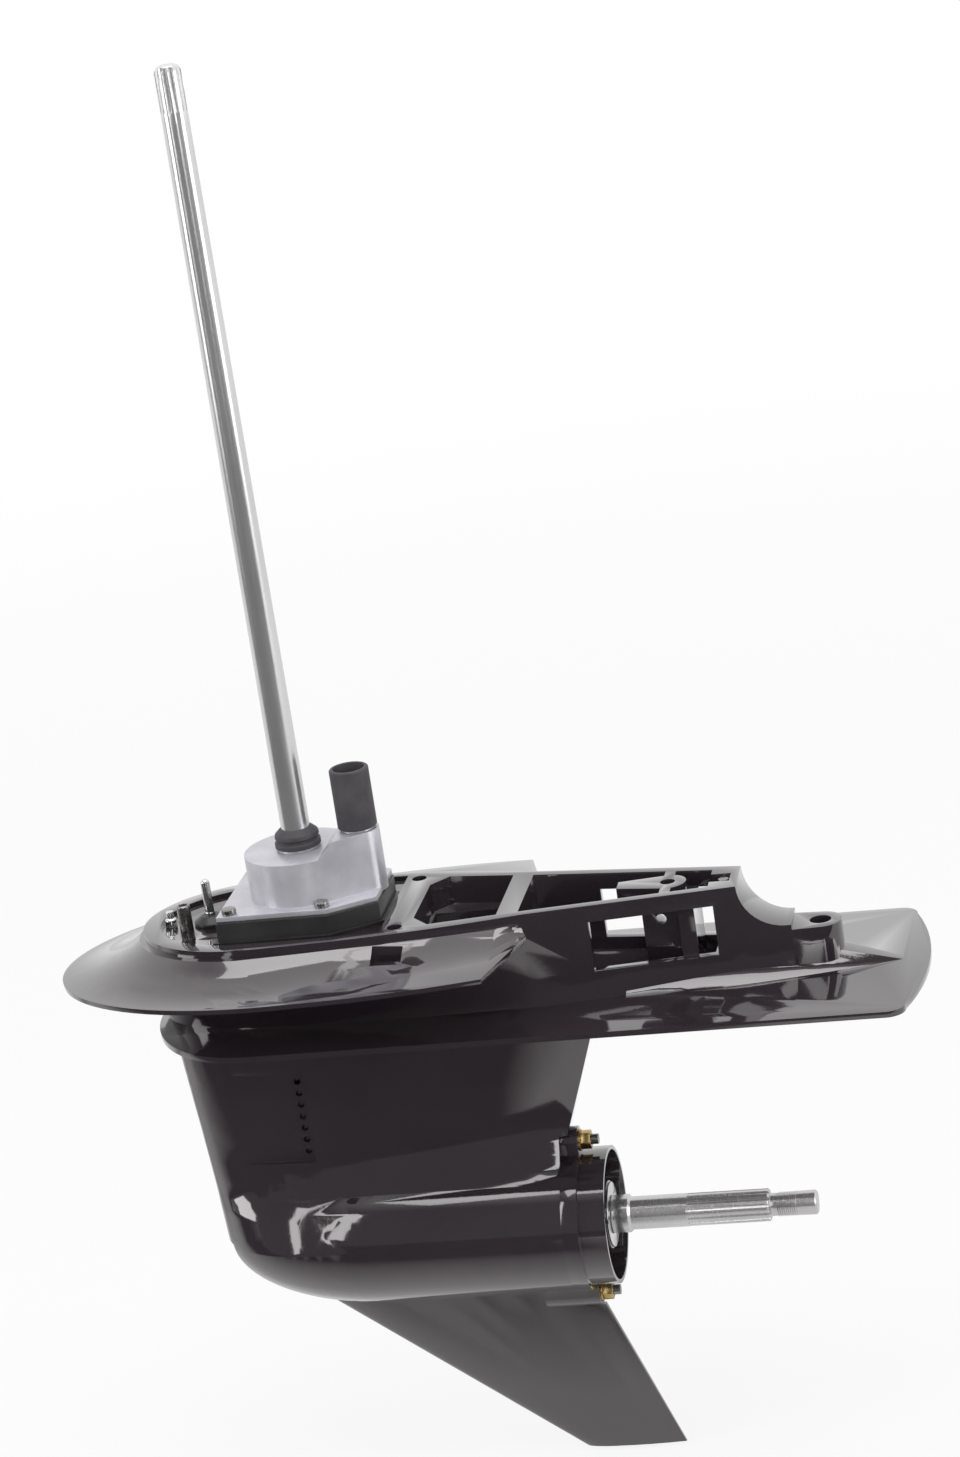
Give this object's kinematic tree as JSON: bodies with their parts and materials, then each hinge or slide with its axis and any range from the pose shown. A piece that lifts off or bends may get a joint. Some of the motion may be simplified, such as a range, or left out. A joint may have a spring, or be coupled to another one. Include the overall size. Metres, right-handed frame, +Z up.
{
  "type": "outboard lower unit",
  "caption": "Outboard motor lower unit: finned gearcase with bevel gears, dog clutch, water pump, tall splined drive shaft and splined propeller shaft.",
  "frame": {"origin": "on the drive shaft's axis, in the plane of the deck that bolts to the unit above", "axes": "+Z up along the drive shaft, +X aft along the propeller shaft, +Y to starboard"},
  "size_m": [0.6637, 0.2666, 1.1086],
  "materials": {
    "gloss_black_paint": "gloss black paint",
    "cast_aluminium": "satin",
    "black_plastic": "satin",
    "black_rubber": "matte",
    "steel": "brushed",
    "bright_steel": "polished",
    "zinc_steel": "yellow zinc",
    "bronze": "satin"
  },
  "bodies": {
    "gearcase": {"gearcase_housing": "gloss_black_paint", "bearing_carrier": "gloss_black_paint", "carrier_studs": "steel", "carrier_washers": "zinc_steel", "carrier_nuts": "zinc_steel", "carrier_o_ring": "black_rubber", "inner_shaft_seal": "black_rubber", "outer_shaft_seal": "black_rubber", "shaft_seal_cover": "bright_steel", "carrier_needle_bearing": "bright_steel", "pinion_needle_bearing": "bright_steel", "upper_drive_bearing": "bright_steel", "drive_shaft_seal": "black_rubber", "forward_bearing_cup": "bright_steel", "forward_bearing_rollers": "bright_steel", "reverse_bearing_outer_race": "bright_steel", "reverse_bearing_balls": "bright_steel", "pump_base": "black_plastic", "pump_gasket": "black_rubber", "pump_wear_plate": "bright_steel", "pump_housing": "cast_aluminium", "pump_cup": "bright_steel", "pump_bolts": "steel", "water_tube_coupling": "black_rubber", "deck_dowel": "steel", "front_fitting": "bright_steel", "rear_stud": "steel", "oil_vent_screw": "steel", "oil_drain_screw": "steel", "shift_shaft_bushing": "black_plastic"},
    "drive": {"drive_shaft": "bright_steel", "pinion_gear": "steel", "pinion_nut": "steel", "impeller_key": "steel", "pump_impeller": "black_rubber", "shaft_slinger": "black_rubber"},
    "forward_gear_set": {"forward_gear": "steel", "forward_bearing_cone": "bright_steel", "forward_gear_sleeve": "bronze"},
    "reverse_gear_set": {"reverse_gear": "steel", "reverse_bearing_inner_race": "bright_steel", "reverse_gear_sleeve": "bronze"},
    "propeller_drive": {"propeller_shaft": "bright_steel"},
    "clutch": {"dog_clutch": "steel", "clutch_cross_pin": "steel", "clutch_retaining_spring": "steel", "shift_slide": "steel"},
    "follower": {"cam_follower": "steel"},
    "shifter": {"shift_shaft": "bright_steel", "shift_crank": "steel"}
  },
  "joints": [
    {"name": "drive_spin", "type": "hinge", "parent": "gearcase", "child": "drive", "pos_m": [0, 0, 0], "axis": [0, 0, 1], "continuous": true},
    {"name": "forward_gear_spin", "type": "hinge", "parent": "gearcase", "child": "forward_gear_set", "pos_m": [0, 0, -0.268], "axis": [1, 0, 0], "continuous": true},
    {"name": "reverse_gear_spin", "type": "hinge", "parent": "gearcase", "child": "reverse_gear_set", "pos_m": [0, 0, -0.268], "axis": [1, 0, 0], "continuous": true},
    {"name": "propeller_spin", "type": "hinge", "parent": "gearcase", "child": "propeller_drive", "pos_m": [0, 0, -0.268], "axis": [1, 0, 0], "continuous": true},
    {"name": "clutch_slide", "type": "slide", "parent": "propeller_drive", "child": "clutch", "axis": [1, 0, 0], "range_m": [-0.00432, 0.00432]},
    {"name": "follower_slide", "type": "slide", "parent": "gearcase", "child": "follower", "axis": [1, 0, 0], "range_m": [-0.005, 0.005]},
    {"name": "shift_turn", "type": "hinge", "parent": "gearcase", "child": "shifter", "pos_m": [-0.078, 0, 0], "axis": [0, 0, 1], "range_deg": [-28, 28]}
  ],
  "couplings": [
    {"joint": "forward_gear_spin", "follows": "drive_spin", "ratio": 0.5},
    {"joint": "reverse_gear_spin", "follows": "drive_spin", "ratio": -0.5},
    {"joint": "follower_slide", "follows": "clutch_slide", "ratio": 1},
    {"joint": "shift_turn", "follows": "clutch_slide", "rad_per_m": -101.01}
  ]
}
